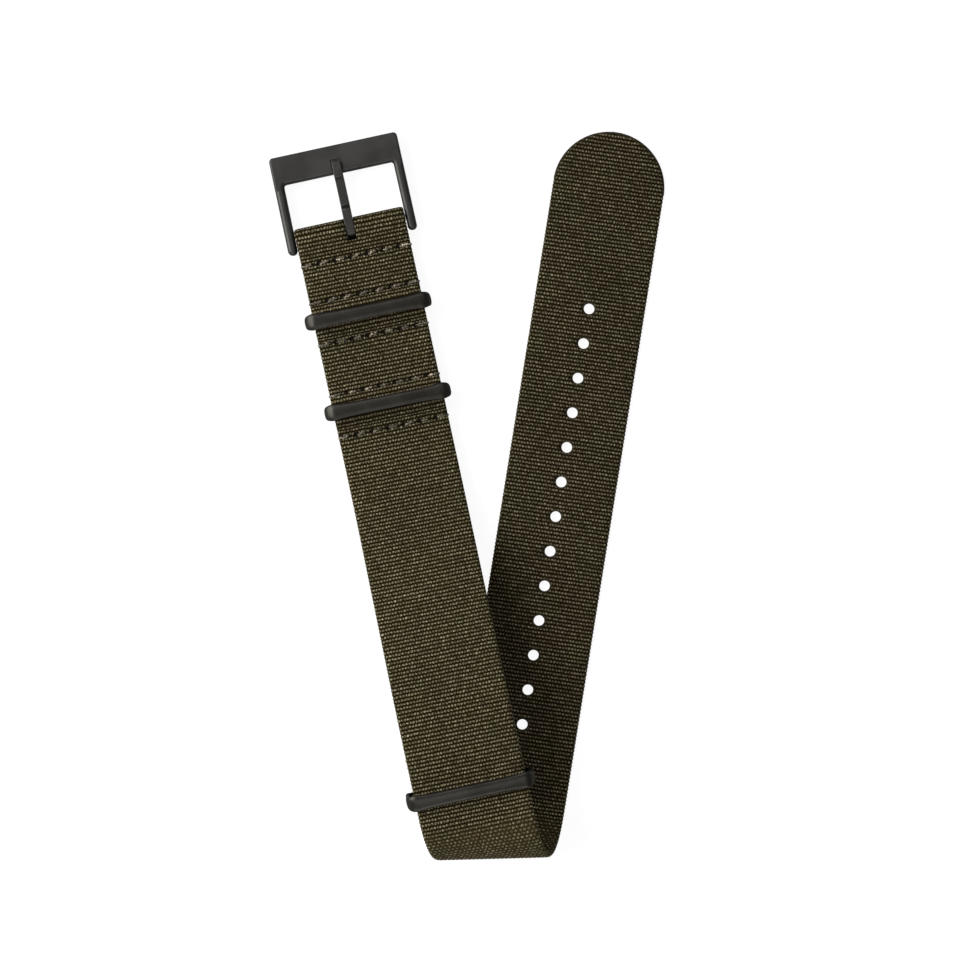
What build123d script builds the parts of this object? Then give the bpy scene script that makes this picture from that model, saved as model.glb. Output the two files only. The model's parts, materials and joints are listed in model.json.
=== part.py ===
from build123d import *
from math import cos, pi, radians, sin, tan
import os

# A woven watch strap with a buckle and three metal keepers, lying folded once into a V.
# The tail run, with the holes, lies on the table; the buckle run lies over it.
# Millimetres, +Z up, +X along the crease of the fold, +Y up the middle of the V.

# Webbing
web_width = 22.0
web_thickness = 1.2
ply_gap = 0.10              # between two plies that are sewn together
rest_gap = 0.30             # between plies that only lie on one another

# The V and its fold
limb_angle = 10.7           # each run leans this far from +Y, in degrees
fold_radius = 8.9           # middle of the webbing round the bend
fold_slip = 1.26            # the weave shears sideways by this much in the bend
fold_steps = 12

# Tail run
tail_run = 123.25           # start of the bend to the centre of the round tip
hole_diameter = 2.1
hole_pitch = 6.91
first_hole = 24.2           # from the centre of the round tip
hole_count = 14

# Buckle run, measured down the strap from the buckle bar
bar_to_fold = 116.35
row_places = [5.5, 12.95, 21.3, 31.5, 39.85]
keeper_places = [16.85, 34.95]
ply_joint = 26.0            # the folded-back end meets the short webbing here
slope_foot = 52.0
slope_head = 98.0
slope_bend = 55.0           # radius of the gentle bends at foot and head of the slope
end_keeper_place = 110.7

# Keepers
keeper_side_gap = 0.5       # each side of the webbing
keeper_inner_height = 4.0
keeper_wall = 1.1
keeper_width = 3.1
keeper_lower_width = 1.8    # the hidden lower bar is narrower, so that it can tilt
keeper_shoulder = 0.8       # the narrow part reaches this far above the lower bar
keeper_corner = 2.1
keeper_edge = 0.4
keeper_skew = 0.7           # the two fixed keepers sit slightly askew, in degrees
end_keeper_lean = 12.0      # the end keeper leans towards the fold, in degrees

# Pockets and loops in the webbing
pocket_gap = 1.80           # the keeper's lower bar lies in here
pocket_flat = 3.0
pocket_ramp = 1.7
end_loop_radius = 1.1
end_loop_tail = 10.0
seam_place = 7.0            # from the end keeper's bar to its seam
ply_bend = 2.4              # small bends of the webbing at pockets and loops

# Stitching
stitch_pitch = 3.2
stitch_length = 1.6
thread_width = 0.4
thread_rise = 0.2

# Buckle frame
frame_thickness = 2.6
frame_top = 16.65           # bar axis to the outer edge of the top bar at its ends
frame_crown = 0.05          # the top edge bows out by this much
frame_bar = 5.6             # depth of the top bar
frame_side_gap = 0.1        # each side of the webbing, at the feet of the legs
frame_splay = 0.1           # each leg leans out by this much from top to foot
leg_width = 1.85
leg_reach = 2.8             # legs go on past the bar axis
frame_outer_corner = 0.8
frame_inner_corner = 0.55
frame_edge = 0.4
window_edge = 0.8           # the rim round the window is rounder
leg_round = 0.8             # the legs are nearly half-round on top
leg_shoulder = 1.0          # from the window's top down to where that begins
tongue_rest_depth = 0.25
tongue_rest_width = 2.2
tongue_rest_length = 2.8

# Buckle bar
bar_diameter = 1.6
bar_end_gap = 0.25
plunger_diameter = 0.8
plunger_reach = 1.1         # into the leg
plunger_sunk = 3.0          # into the bar
fit = 0.05

# Tongue
tongue_width = 1.8
tongue_thickness = 1.0
tongue_length = 13.1        # bar axis to the centre of the round tip
tongue_step = 3.7           # where it bends down behind the raised base
tongue_rise_at = 9.8        # where it bends up on to the top bar
tongue_drop = 0.75
tongue_bend = 0.7
tongue_gap = 0.10
slot_width = 2.1
slot_back = 2.4
slot_corner = 0.3

# Values that follow from those above
web_half = web_width / 2
keeper_inner_width = web_width + 2 * keeper_side_gap
frame_half_foot = web_half + frame_side_gap + leg_width
frame_half_top = frame_half_foot - frame_splay
stitch_count = round(web_width / stitch_pitch)
web_across = web_width / cos(radians(limb_angle))
lean = tan(radians(limb_angle))
loop_radius = bar_diameter / 2 + 3 * fit
stack_z = loop_radius + web_thickness          # middle of the sewn double webbing
upper_z = 2 * fold_radius                      # underside of the run over the fold
pocket_rise = (pocket_gap - ply_gap) / 2
half_gap = ply_gap / 2
overrun = 4 * web_thickness
keeper_outer_width = keeper_inner_width + 2 * keeper_wall
keeper_height = keeper_inner_height + 2 * keeper_wall
end_bar_z = upper_z - rest_gap - web_thickness - end_loop_radius
fold_shift = pi * fold_radius * lean + fold_slip
bar_y = bar_to_fold * cos(radians(limb_angle))
bar_x = -fold_shift - bar_to_fold * sin(radians(limb_angle))
strap_place = Location((bar_x, bar_y, 0), (0, 0, limb_angle))
tail_place = Location((0, 0, 0), (0, 0, -limb_angle))


def extrude_across(face, width):
    """Extrude a face drawn in the side view, (along, up), evenly across the strap."""
    return extrude(Plane.YZ * face, amount=width / 2, both=True)


def left_of(way):
    """The direction square to a direction, on its left."""
    return Vector(-way.Y, way.X)


def strip(points, radii, offset):
    """Webbing seen from the side: a bent line and the same line moved to its left."""
    path = [Vector(*point) for point in points]
    ways = [(b - a).normalized() for a, b in zip(path, path[1:])]
    moved = [path[0] + left_of(ways[0]) * offset]
    sizes = []
    for corner, before, after, radius in zip(path[1:-1], ways, ways[1:], radii):
        first, second = left_of(before), left_of(after)
        moved.append(corner + (first + second) * (offset / (1 + first.dot(second))))
        turns_left = before.cross(after).Z > 0
        sizes.append(radius - offset if turns_left else radius + offset)
    moved.append(path[-1] + left_of(ways[-1]) * offset)
    near = FilletPolyline(*path, radius=list(radii))
    far = FilletPolyline(*moved, radius=sizes)
    ends = [Line(path[0], moved[0]), Line(path[-1], moved[-1])]
    return make_face(near.edges() + far.edges() + [e for end in ends for e in end.edges()])


def loop_end(centre, radius, side):
    """Half a turn of webbing round a bar, bulging to one side."""
    outer = radius + web_thickness
    half = Pos(side * outer, 0) * Rectangle(2 * outer, 2 * outer)
    return Pos(*centre) * ((Circle(outer) - Circle(radius)) & half)


def pocket(place, level, rise):
    """Four points of the raised or sunk stretch over a keeper's lower bar."""
    flat = pocket_flat / 2
    ramp = flat + pocket_ramp
    return [(-place - ramp, level), (-place - flat, level + rise),
            (-place + flat, level + rise), (-place + ramp, level)]


# Webbing

def webbing_tail_run():
    """Flat run with a half-round tip and a row of holes, cut off square to the fold."""
    start = web_half * lean + overrun
    flat = Pos(0, (tail_run - start) / 2) * Rectangle(web_width, tail_run + start)
    flat += Pos(0, tail_run) * Circle(web_half)
    for index in range(hole_count):
        flat -= Pos(0, tail_run - first_hole - index * hole_pitch) * Circle(hole_diameter / 2)
    run = tail_place * extrude(flat, amount=web_thickness)
    cutter = Box(4 * web_width, 4 * web_width, 4 * web_thickness,
                 align=(Align.CENTER, Align.MAX, Align.CENTER))
    return run - cutter


def webbing_fold():
    """The bend: a half turn about X that wanders sideways as the V does."""
    sections = []
    for step in range(fold_steps + 1):
        share = step / fold_steps
        turn = pi * share
        ease = share * share * (3 - 2 * share)
        shift = -turn * fold_radius * lean - fold_slip * ease
        middle = (shift, -fold_radius * sin(turn),
                  web_thickness / 2 + fold_radius * (1 - cos(turn)))
        plane = Plane(origin=middle, x_dir=(1, 0, 0), z_dir=(0, -cos(turn), sin(turn)))
        sections.append(plane * Rectangle(web_across, web_thickness))
    return loft(sections)


def buckle_slot():
    """Cutter for the tongue's slot through the end of the webbing."""
    length = slot_back + loop_radius + web_thickness + overrun
    slot = Pos(0, length / 2 - slot_back) * RectangleRounded(slot_width, length, slot_corner)
    return extrude(slot, amount=2 * stack_z + overrun)


def webbing_buckle_run(threads):
    """The long webbing from the fold to the bar, round it and back underneath."""
    far = bar_to_fold + web_half * lean + overrun
    over, under = stack_z + half_gap, stack_z - half_gap
    start = -(row_places[0] - thread_width * 3)
    crest = -(loop_radius + half_gap)
    top = [(-far, upper_z), (-slope_head, upper_z), (-slope_foot, over)]
    for place in reversed(keeper_places):
        top += pocket(place, over, pocket_rise)
    top += [(start, over), (crest, stack_z + loop_radius), (0, stack_z + loop_radius)]
    bottom = [(0, stack_z - loop_radius), (crest, stack_z - loop_radius), (start, under)]
    bottom += reversed(pocket(keeper_places[0], under, -pocket_rise))
    bottom += [(-(ply_joint - half_gap), under)]
    radii = [slope_bend] * 2 + [ply_bend] * (len(top) - 4)
    side_view = (strip(top, radii, web_thickness)
                 + loop_end((0, stack_z), loop_radius, 1)
                 + strip(bottom, [ply_bend] * (len(bottom) - 2), web_thickness))
    run = extrude_across(side_view, web_width)
    run = strap_place * (run - buckle_slot() - threads)
    cutter = Pos(-fold_shift, 0, upper_z) * Box(
        2 * web_across, 4 * web_width, 4 * fold_radius,
        align=(Align.CENTER, Align.MAX, Align.CENTER))
    return run - cutter


def webbing_short_run(threads):
    """The short webbing: sewn under the long one, ending in the end keeper's loop."""
    under = stack_z - half_gap - web_thickness
    level = end_bar_z + end_loop_radius
    turn_back = -end_keeper_place
    seam = turn_back + seam_place
    path = [(-(ply_joint + half_gap), under)]
    path += reversed(pocket(keeper_places[1], under, -pocket_rise))
    path += [(-slope_foot, under), (-slope_head, level), (turn_back, level)]
    back = [(turn_back, level - 2 * end_loop_radius),
            (turn_back + end_loop_radius, level - 2 * end_loop_radius),
            (turn_back + seam_place / 2, level - ply_gap),
            (seam, level - ply_gap - half_gap),
            (turn_back + end_loop_tail, level - 4 * ply_gap - half_gap)]
    radii = [ply_bend] * 4 + [slope_bend - rest_gap, slope_bend - rest_gap]
    side_view = (strip(path, radii, -web_thickness)
                 + loop_end((turn_back, end_bar_z), end_loop_radius, -1)
                 + strip(back, [ply_bend / 2, ply_bend, ply_bend], -web_thickness))
    run = extrude_across(side_view, web_width)
    return strap_place * (run - threads)


# Stitching

def stitch_row(place, middle):
    """One thread that runs over and under two plies, drawn as a square wave."""
    reach = web_thickness + half_gap
    first = -(stitch_count - 1) / 2
    half = stitch_length / 2
    box = (Align.CENTER, Align.CENTER, Align.MIN)
    thread = None
    for index in range(stitch_count):
        centre = (first + index) * stitch_pitch
        pieces = [Pos(centre, -place, middle + reach)
                  * Box(stitch_length + thread_width, thread_width, thread_rise, align=box)]
        for side in (-1, 1):
            pieces.append(Pos(centre + side * half, -place, middle - reach)
                          * Box(thread_width, thread_width, 2 * reach, align=box))
        if index:
            gap = stitch_pitch - stitch_length
            pieces.append(Pos(centre - stitch_pitch / 2, -place, middle - reach - thread_rise)
                          * Box(gap + thread_width, thread_width, thread_rise, align=box))
        for piece in pieces:
            thread = piece if thread is None else thread + piece
    return thread


# Buckle

def frame_plan(top, grow):
    """Half-widths of the frame's legs follow one taper; grow widens the outline."""
    foot = -leg_reach
    return [(-frame_half_foot - grow, foot), (-frame_half_top - grow, top),
            (frame_half_top + grow, top), (frame_half_foot + grow, foot)]


def rounded_plate(plan, base, cut, side, outside, window):
    """The part of a flat plate on one side of a line across it, its upper edges rounded."""
    keep = Pos(0, cut) * Rectangle(4 * frame_top, 4 * frame_top, align=(Align.CENTER, side))
    plate = Pos(0, 0, base) * extrude(plan & keep, amount=frame_thickness)
    rim = plate.edges().filter_by(lambda e: abs(e.center().Z - base - frame_thickness) < fit
                                  and abs(e.center().Y - cut) > fit)
    middle = frame_half_top - leg_width / 2
    inner = rim.filter_by(lambda e: abs(e.center().X) < middle and e.center().Y < frame_top - fit)
    outer = rim.filter_by(lambda e: abs(e.center().X) > middle or e.center().Y > frame_top - fit)
    if outside == window:
        return fillet(rim, window)
    return fillet(inner, window).fillet(outside, outer)


def buckle_frame():
    """Open frame with a broad flat top bar and two round-topped legs that carry the bar."""
    outer = frame_plan(frame_top, 0)
    inner_top = frame_top + frame_crown - frame_bar
    inner = frame_plan(inner_top, -leg_width)
    edges = [Line(outer[0], outer[1]),
             ThreePointArc(outer[1], (0, frame_top + frame_crown), outer[2]),
             Line(outer[2], outer[3]), Line(outer[3], inner[3]), Line(inner[3], inner[2]),
             Line(inner[2], inner[1]), Line(inner[1], inner[0]), Line(inner[0], outer[0])]
    plan = make_face(edges)
    plan = fillet(plan.vertices().filter_by(lambda v: v.Y < 0), leg_width / 2 - fit)
    plan = fillet(plan.vertices().filter_by(lambda v: v.Y > frame_top - fit), frame_outer_corner)
    plan = fillet(plan.vertices().filter_by(lambda v: abs(v.Y - inner_top) < fit),
                  frame_inner_corner)
    base = stack_z - frame_thickness / 2
    face_z = base + frame_thickness
    shoulder = inner_top - leg_shoulder
    frame = rounded_plate(plan, base, shoulder, Align.MIN, frame_edge, window_edge)
    for side in (-1, 1):
        half = Pos(side * 2 * frame_top, 0) * Rectangle(4 * frame_top, 4 * frame_top)
        frame += rounded_plate(plan & half, base, shoulder + frame_edge, Align.MAX,
                               leg_round, leg_round)
    frame -= Pos(0, inner_top + tongue_rest_length / 2, face_z) * Box(
        tongue_rest_width, tongue_rest_length, 2 * tongue_rest_depth)
    inside = leg_inside()
    for side in (-1, 1):
        frame -= Pos(side * inside, 0, stack_z) * Cylinder(
            plunger_diameter / 2 + fit, 2 * (plunger_reach + fit), rotation=(0, 90, 0))
    return strap_place * frame


def leg_inside():
    """Half the clear width between the legs at the bar axis."""
    inner_top = frame_top + frame_crown - frame_bar
    share = leg_reach / (inner_top + leg_reach)
    return frame_half_foot + (frame_half_top - frame_half_foot) * share - leg_width


def spring_bar_tube():
    """The bar that the webbing and the tongue turn on, bored at both ends."""
    half = leg_inside() - bar_end_gap
    tube = Cylinder(bar_diameter / 2, 2 * half, rotation=(0, 90, 0))
    for side in (-1, 1):
        tube -= Pos(side * half, 0, 0) * Cylinder(
            plunger_diameter / 2 + fit / 2, 2 * plunger_sunk, rotation=(0, 90, 0))
    return strap_place * Pos(0, 0, stack_z) * tube


def spring_bar_plunger(side):
    """The sprung end of the bar that sits in a leg."""
    inside = leg_inside()
    inner = inside - bar_end_gap - plunger_sunk + fit
    outer = inside + plunger_reach
    body = Cylinder(plunger_diameter / 2, outer - inner, rotation=(0, 90, 0))
    body += Pos(inside - bar_end_gap / 2 - (inner + outer) / 2, 0, 0) * Cylinder(
        bar_diameter / 2 - fit, bar_end_gap - 2 * fit, rotation=(0, 90, 0))
    return strap_place * Pos(side * (inner + outer) / 2, 0, stack_z) * (
        body if side > 0 else mirror(body, Plane.YZ))


def buckle_tongue():
    """A flat tongue: eye round the bar, raised base, low shank and a tip on the top bar."""
    half = tongue_thickness / 2
    eye = bar_diameter / 2 + tongue_gap
    rest = stack_z + frame_thickness / 2 - tongue_rest_depth + tongue_gap + half
    base = stack_z + eye + half
    low = base - tongue_drop
    line = FilletPolyline((0, base), (tongue_step, base), (tongue_step + tongue_drop, low),
                          (tongue_rise_at, low), (tongue_rise_at + tongue_width / 2, rest),
                          (tongue_length, rest), radius=tongue_bend / 2)
    shank = make_face(Wire(line.edges()).offset_2d(half, side=Side.BOTH).edges())
    ring = Pos(0, stack_z) * (Circle(eye + tongue_thickness) - Circle(eye))
    side_view = shank + ring - Pos(0, stack_z) * Circle(eye)
    body = extrude_across(side_view, tongue_width)
    back = eye + tongue_thickness
    length = tongue_length + half + back
    plan = Pos(0, length / 2 - back) * RectangleRounded(
        tongue_width, length + fit, tongue_width / 2 - fit)
    wide = Pos(0, -back / 2) * Rectangle(tongue_width, back + 2 * fit)
    return strap_place * (body & extrude(plan + wide, amount=3 * stack_z))


# Keepers

def keeper_ring(width):
    """A rectangular loop with round corners and bevelled outer rims."""
    middle = keeper_height / 2 - keeper_wall / 2
    ring = RectangleRounded(keeper_outer_width, keeper_height, keeper_corner)
    ring -= RectangleRounded(keeper_inner_width, keeper_inner_height,
                             keeper_corner - keeper_wall)
    loop = Pos(0, 0, middle) * extrude(Plane.XZ * ring, amount=width / 2, both=True)
    rims = loop.edges().filter_by(lambda e: abs(e.center().Y) > width / 2 - fit and (
        abs(e.center().X) > keeper_inner_width / 2 + fit
        or abs(e.center().Z - middle) > keeper_inner_height / 2 + fit))
    return chamfer(rims, keeper_edge)


def keeper():
    """A flat metal loop about the axis of its lower bar, narrow at the bottom."""
    shoulder = keeper_wall / 2 + keeper_shoulder
    upper = Pos(0, 0, shoulder) * Box(
        2 * keeper_outer_width, 2 * keeper_width, 2 * keeper_height,
        align=(Align.CENTER, Align.CENTER, Align.MIN))
    return (keeper_ring(keeper_width) & upper) + (keeper_ring(keeper_lower_width) - upper)


def fixed_keeper(place):
    """A keeper whose lower bar lies in a pocket between the two plies."""
    return strap_place * Location((0, -place, stack_z), (0, 0, -keeper_skew)) * keeper()


def end_keeper():
    """The keeper in the short webbing's loop, leaning towards the fold."""
    return strap_place * Location((0, -end_keeper_place, end_bar_z),
                                  (end_keeper_lean, 0, 0)) * keeper()


def main():
    end_seam = end_keeper_place - seam_place
    end_seam_z = end_bar_z + end_loop_radius - half_gap - ply_gap / 2
    rows = [stitch_row(place, stack_z) for place in row_places]
    end_row = stitch_row(end_seam, end_seam_z)
    all_rows = rows[0]
    for row in rows[1:]:
        all_rows = all_rows + row
    parts = {
        "webbing_tail_run": webbing_tail_run(),
        "webbing_fold": webbing_fold(),
        "webbing_buckle_run": webbing_buckle_run(all_rows),
        "webbing_short_run": webbing_short_run(all_rows + end_row),
        "stitch_end_loop": strap_place * end_row,
        "buckle_frame": buckle_frame(),
        "buckle_tongue": buckle_tongue(),
        "spring_bar_tube": spring_bar_tube(),
        "spring_bar_plunger_left": spring_bar_plunger(-1),
        "spring_bar_plunger_right": spring_bar_plunger(1),
        "keeper_upper": fixed_keeper(keeper_places[0]),
        "keeper_lower": fixed_keeper(keeper_places[1]),
        "keeper_end": end_keeper(),
    }
    for index, row in enumerate(rows):
        parts[f"stitch_row_{index + 1}"] = strap_place * row

    boxes = [shape.bounding_box() for shape in parts.values()]
    low_x = min(box.min.X for box in boxes)
    high_x = max(box.max.X for box in boxes)
    low_y = min(box.min.Y for box in boxes)
    high_y = max(box.max.Y for box in boxes)
    low_z = min(box.min.Z for box in boxes)
    shift = Pos(-(low_x + high_x) / 2, -(low_y + high_y) / 2, -low_z)

    os.makedirs("parts", exist_ok=True)
    for name, shape in parts.items():
        export_step(shift * shape, f"parts/{name}.step")

    print("size", round(high_x - low_x, 2), round(high_y - low_y, 2))
    print("shift", [round(value, 4) for value in shift.position])
    for name, place in (("bar", (0, 0, stack_z)),
                        ("keeper_upper", (0, -keeper_places[0], stack_z)),
                        ("keeper_lower", (0, -keeper_places[1], stack_z)),
                        ("keeper_end", (0, -end_keeper_place, end_bar_z))):
        spot = shift * strap_place * Pos(*place)
        print(name, [round(value, 4) for value in spot.position])
    fold = shift * Pos(0, -pi * fold_radius / 2, fold_radius + web_thickness / 2)
    print("fold axis", [round(value, 4) for value in fold.position])


main()
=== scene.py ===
import json
import math

import bpy
import numpy as np
from mathutils import Matrix, Vector


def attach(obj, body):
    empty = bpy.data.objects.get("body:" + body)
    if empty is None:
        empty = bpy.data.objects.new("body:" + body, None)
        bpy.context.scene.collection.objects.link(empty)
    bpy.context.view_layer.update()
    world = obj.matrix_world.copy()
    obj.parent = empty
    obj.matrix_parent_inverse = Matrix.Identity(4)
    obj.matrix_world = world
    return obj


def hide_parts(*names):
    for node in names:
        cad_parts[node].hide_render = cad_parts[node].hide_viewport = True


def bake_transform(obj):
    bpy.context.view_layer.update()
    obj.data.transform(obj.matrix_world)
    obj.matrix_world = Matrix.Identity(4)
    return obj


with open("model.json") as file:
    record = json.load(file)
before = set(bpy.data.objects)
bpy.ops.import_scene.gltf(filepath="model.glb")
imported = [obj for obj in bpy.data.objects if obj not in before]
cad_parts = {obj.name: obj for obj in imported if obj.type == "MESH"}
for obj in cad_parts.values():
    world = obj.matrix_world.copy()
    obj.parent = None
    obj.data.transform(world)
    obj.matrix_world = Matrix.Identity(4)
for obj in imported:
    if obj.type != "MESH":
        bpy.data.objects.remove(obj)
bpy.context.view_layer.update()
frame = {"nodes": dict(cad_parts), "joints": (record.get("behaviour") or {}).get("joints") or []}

# Sizes of the strap in millimetres; meshes are written in metres.
# Places along the strap are measured from the buckle's bar unless they say otherwise.
MM = 0.001
WEB_HALF, WEB_T = 11.0, 1.2  # the webbing's half width and thickness
FOLD_R, FOLD_SLIP = 8.9, 1.26  # radius of the bend, and how far the cloth slips sideways in it
LIMB = math.radians(10.7)  # each run's angle from the middle of the V
TAIL_RUN, BAR_TO_FOLD = 123.25, 116.35  # bend to the round tip's centre, and bar to bend
RIB_PITCH, DOT_PITCH = 0.76, 0.613  # from rib to rib, and from one crossing yarn to the next
HOLE_R, HOLE_PITCH, HOLES = 1.05, 6.91, 14
FIRST_HOLE = 24.2  # from the round tip's centre to the hole nearest to it
ROWS = [5.5, 12.95, 21.3, 31.5, 39.85]  # rows of stitching
KEEPERS = [16.85, 34.95]
PLY_JOINT = 26.0  # where the turned end of the long webbing meets the short one
SLOPE_FOOT, SLOPE_HEAD, SLOPE_R = 52.0, 98.0, 55.0  # the buckle run's rise to the bend
END_KEEPER, END_R = 110.7, 1.1  # the end keeper's place, and the radius of its loop of webbing
END_TAIL, SEAM = 10.0, 7.0  # the loop's loose end and seam, from the end keeper
RUN_GAP = 0.3  # between the long webbing and the end loop under it
POCKET_FLAT, POCKET_RAMP, POCKET_RISE = 1.5, 3.2, 0.85  # room for a keeper's lower bar
PLY_R, PLY_GAP = 2.4, 0.10  # radius of small bends in the webbing, and the gap between plies
LOOP_R = 0.95  # inside of the webbing round the buckle's bar
STACK_Z = LOOP_R + WEB_T
UPPER_Z = 2 * FOLD_R
END_Z = UPPER_Z - RUN_GAP - WEB_T - END_R
STITCH, STITCH_LONG = 3.2, 1.6  # from stitch to stitch, and the length that shows
BEND_END = math.pi * FOLD_R / math.cos(LIMB)  # length of webbing in the bend
OVERLAP = 2.3  # how much of each run belongs to the bend's piece

JOINTS = {joint["name"]: joint for joint in frame["joints"]}
BAR = Vector(JOINTS["buckle_swing"]["pos_m"])
FOLD = Vector(JOINTS["strap_fold"]["pos_m"])
BEND_X = FOLD.x / MM
BEND_Y = FOLD.y / MM + math.pi * FOLD_R / 2
STRAP = Matrix.Translation((BAR.x, BAR.y, 0)) @ Matrix.Rotation(LIMB, 4, "Z")
TAIL = Matrix.Translation((BEND_X * MM, BEND_Y * MM, 0)) @ Matrix.Rotation(-LIMB, 4, "Z")


# Shader maths

class Wire:
    """A shader socket that can be used in Python arithmetic."""

    def __init__(self, look, socket):
        self.look, self.socket = look, socket

    def sum(self, kind, *others):
        values = [self] + list(others)
        return self.look.node("ShaderNodeMath", {"operation": kind},
                              dict(enumerate(values)))

    def __add__(self, other): return self.sum("ADD", other)
    def __radd__(self, other): return self.sum("ADD", other)
    def __sub__(self, other): return self.sum("SUBTRACT", other)
    def __rsub__(self, other): return (self * -1.0) + other
    def __mul__(self, other): return self.sum("MULTIPLY", other)
    def __truediv__(self, other): return self.sum("DIVIDE", other)
    def __pow__(self, other): return self.sum("POWER", other)
    def __abs__(self): return self.sum("ABSOLUTE")
    def floor(self): return self.sum("FLOOR")
    def fract(self): return self.sum("FRACT")
    def most(self, other): return self.sum("MAXIMUM", other)
    def root(self): return self.sum("SQRT")

    def step(self, low, high):
        """0 below low, 1 above high, smooth between; turned over where low is above high."""
        rise = self.look.node("ShaderNodeMapRange", {"interpolation_type": "SMOOTHSTEP"}, {
            "Value": self, "From Min": min(low, high), "From Max": max(low, high)})
        return 1.0 - rise if low > high else rise


class Look:
    """A material under construction."""

    def __init__(self, name):
        self.material = bpy.data.materials.new(name)
        self.material.use_nodes = True
        self.tree = self.material.node_tree
        self.tree.nodes.clear()

    def node(self, kind, settings=None, inputs=None, out=0):
        made = self.tree.nodes.new(kind)
        for key, value in (settings or {}).items():
            setattr(made, key, value)
        for key, value in (inputs or {}).items():
            if isinstance(value, Wire):
                self.tree.links.new(value.socket, made.inputs[key])
            else:
                made.inputs[key].default_value = value
        return Wire(self, made.outputs[out])

    def mix(self, share, first, second):
        """A blend of two colours, each a wire or red, green and blue."""
        colours = [value if isinstance(value, Wire) else (*value, 1.0)
                   for value in (first, second)]
        return self.node("ShaderNodeMix", {"data_type": "RGBA"},
                         {0: share, 6: colours[0], 7: colours[1]}, out=2)

    def noise(self, scale, detail=2.0, rough=0.5, stretch=None):
        place = self.node("ShaderNodeTexCoord", out="Object")
        if stretch:
            place = self.node("ShaderNodeMapping", None, {"Vector": place, "Scale": stretch})
        return self.node("ShaderNodeTexNoise", None, {
            "Vector": place, "Scale": scale, "Detail": detail, "Roughness": rough})

    def flat(self):
        """The webbing's own map: across and along, in millimetres."""
        place = self.node("ShaderNodeUVMap", {"uv_map": "flat_mm"})
        return [self.node("ShaderNodeSeparateXYZ", None, {0: place}, out=axis)
                for axis in (0, 1)]

    def bump(self, height, distance, strength=1.0):
        return self.node("ShaderNodeBump", None, {
            "Height": height, "Distance": distance, "Strength": strength})

    def finish(self, fixed, wired):
        shade = self.node("ShaderNodeBsdfPrincipled", None, {**fixed, **wired})
        self.end(shade)
        return self.material

    def end(self, shade):
        last = self.tree.nodes.new("ShaderNodeOutputMaterial")
        self.tree.links.new(shade.socket, last.inputs["Surface"])


# Looks. Distances are in millimetres, steps are (from, to), a noise is how many times it
# varies in a metre, its detail and its roughness, and the rest are shares.

# The darkest olive is painted shade in the grooves between the ribs; the lightest is painted
# highlight on the yarns' crests.
OLIVE_GROOVE_SHADE = (0.0044, 0.0022, 0.0)
OLIVE = (0.0208, 0.0158, 0.0054)
OLIVE_BEAD_HIGHLIGHT = (0.268, 0.234, 0.155)
OLIVE_OPEN = (0.034, 0.026, 0.0105)
OLIVE_SEALED = (0.013, 0.0105, 0.006)
# Painted shade in the needle holes.
NEEDLE_HOLE_SHADE = (0.002, 0.0016, 0.001)

DRIFT_NOISE, WANDER_NOISE, PATCH_NOISE = (260.0, 2.0), (1300.0, 1.0), (90.0, 3.0)
FIBRE_NOISE, YARN_NOISE = (5200.0, 3.0, 0.65), (1500.0, 2.0, 0.6)
RIB_DRIFT, RIB_WANDER, YARN_WANDER, PAIR_WANDER = 0.16, 0.16, 0.62, 0.7
BEAD_CURVE, BEAD_SIDE, BEAD_CREST = 1.8, 0.44, 0.78
BEAD_LIT, GROUND_LIT, FIBRE_LIT, YARN_LIT = (0.56, 1.0), (0.18, 0.80), (0.38, 0.66), (0.32, 0.72)
YARN_PAIR = 1.4  # size of the pattern where the weave is opened by the bend, in yarns
OPEN_FROM, OPEN_FULL, OPEN_MOST = 0.5, (4.5, 5.0), 0.9
OPEN_BEAD, PAIR_CURVE, PAIR_SIDE, OPEN_CURVE, OPEN_CREST = 0.93, 1.5, 0.50, 2.0, 0.42
OPEN_DULLER, OPEN_GROUND = 0.20, 0.34
FIBRE_LEAST, FIBRE_SHINE, YARN_LEAST, YARN_SHINE = 0.08, 0.90, 0.34, 1.12
CLOTH_TONE, CLOTH_PATCH, CLOTH_ROUGH, GAP_ROUGH, FIBRE_HEIGHT = 0.61, 0.38, 0.62, 0.24, 0.35
HUE_TAIL, HUE_RUN, HUE_DRIFT, HUE_BORDER, BORDER_CURVE = 0.470, 0.476, 0.052, 0.010, 5.0
WEAVE_BUMP = 0.13
MELT_OUT, MELT_IN = 1.75, 1.15  # melted rim of a punched hole, from the hole's middle
HOLES_OUT, HOLES_IN, NO_HOLE = 3.0, 2.9, 20.0
RIM_OUT, RIM_IN, TIP_FADE, NO_RIM = 0.75, 0.15, 0.4, 9.0  # melted rim of the round tip
SEAL_TONE, SEAL_FLAT, SEAL_GLOSS = 0.7, 0.75, 0.15
NEEDLE_SHADE_SHARE, NEEDLE_DEEP = 0.95, 1.5


def near_holes(look, across, along):
    """How near a point of the tail is to one of its punched holes."""
    first = -(TAIL_RUN - FIRST_HOLE)
    last = first + (HOLES - 1) * HOLE_PITCH
    nearest = ((along - (first - HOLE_PITCH / 2)) / HOLE_PITCH).fract() * HOLE_PITCH
    gap = nearest - HOLE_PITCH / 2
    away = (gap * gap + across * across).root()
    inside = (along.step(first - HOLES_OUT, first - HOLES_IN)
              * along.step(last + HOLES_OUT, last + HOLES_IN))
    return away + (1.0 - inside) * NO_HOLE


def melted_edges(look, across, along):
    """1 on the heat-sealed rims of the tail's holes and round tip, 0 away from them."""
    holes = near_holes(look, across, along).step(MELT_OUT, MELT_IN)
    tip = -TAIL_RUN
    past = (tip - along).most(0.0)
    inward = WEB_HALF - (past * past + across * across).root()
    rim = inward + along.step(tip, tip + TIP_FADE) * NO_RIM
    return holes.most(rim.step(RIM_OUT, RIM_IN))


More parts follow.
